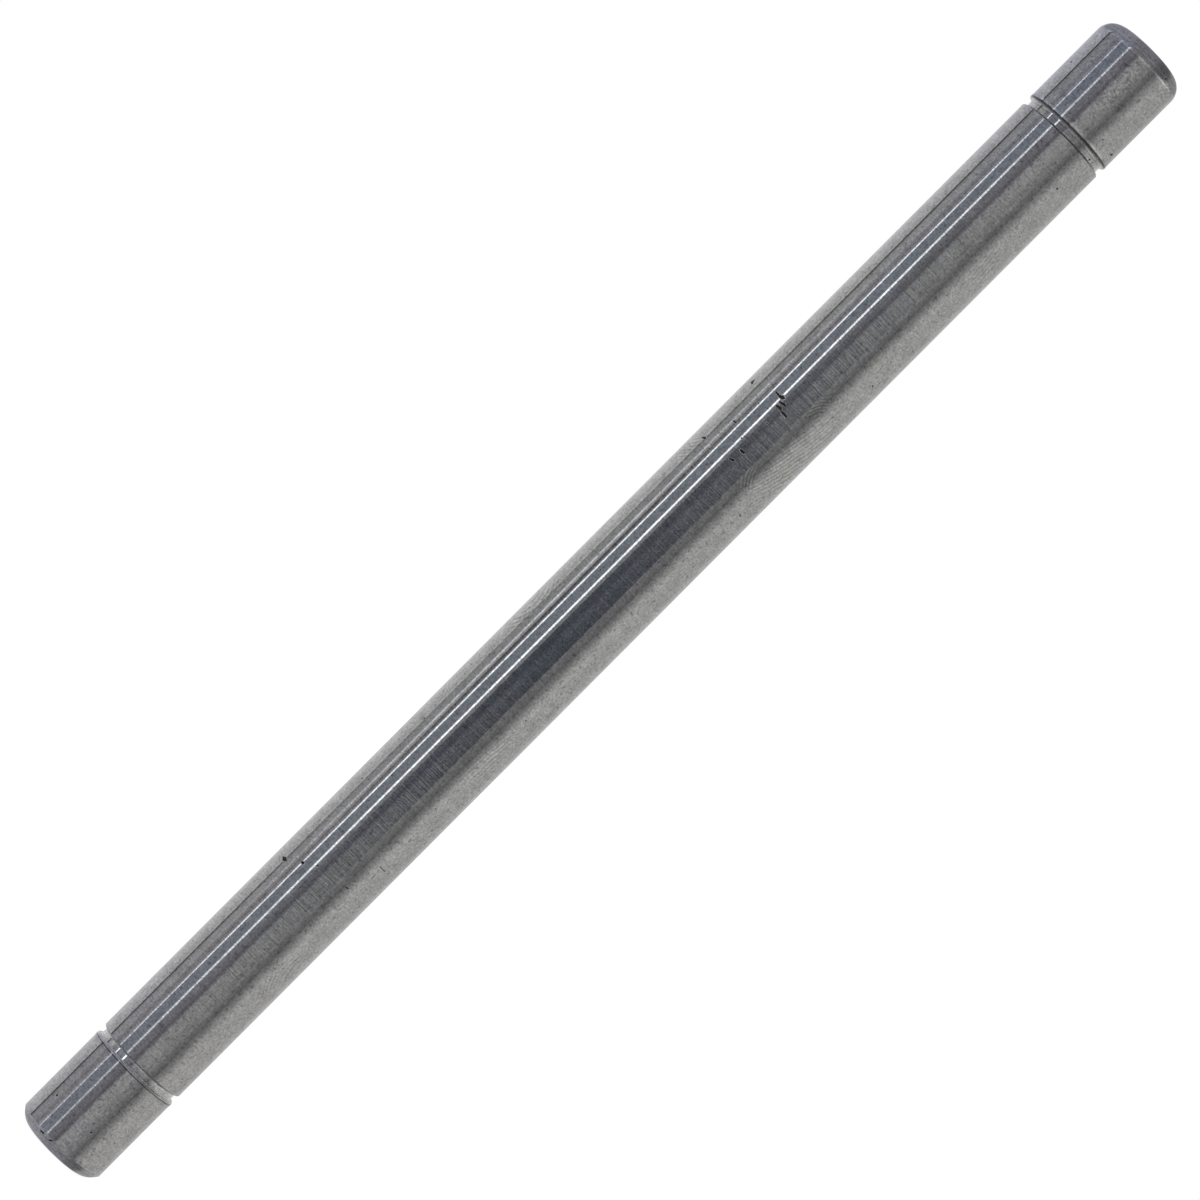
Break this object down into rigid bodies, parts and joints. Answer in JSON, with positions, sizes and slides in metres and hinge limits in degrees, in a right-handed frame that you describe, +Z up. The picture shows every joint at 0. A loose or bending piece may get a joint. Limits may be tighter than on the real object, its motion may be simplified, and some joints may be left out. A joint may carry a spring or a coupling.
{
  "type": "shift rail",
  "caption": "Straight ground steel rail that carries a shift fork in a gearbox, with a retaining ring groove near each chamfered end.",
  "frame": {"origin": "centre of the lower end face", "axes": "+Z up along the rail's axis, from the end with the shorter chamfer to the end with the longer one; +X and +Y across it"},
  "size_m": [0.0126, 0.0126, 0.1905],
  "materials": {
    "ground_steel": "ground steel, fine grinding lines round the rod, light handling marks, a few small pits and rust spots"
  },
  "bodies": {
    "root": {"shift_rail": "ground_steel"}
  },
  "joints": []
}
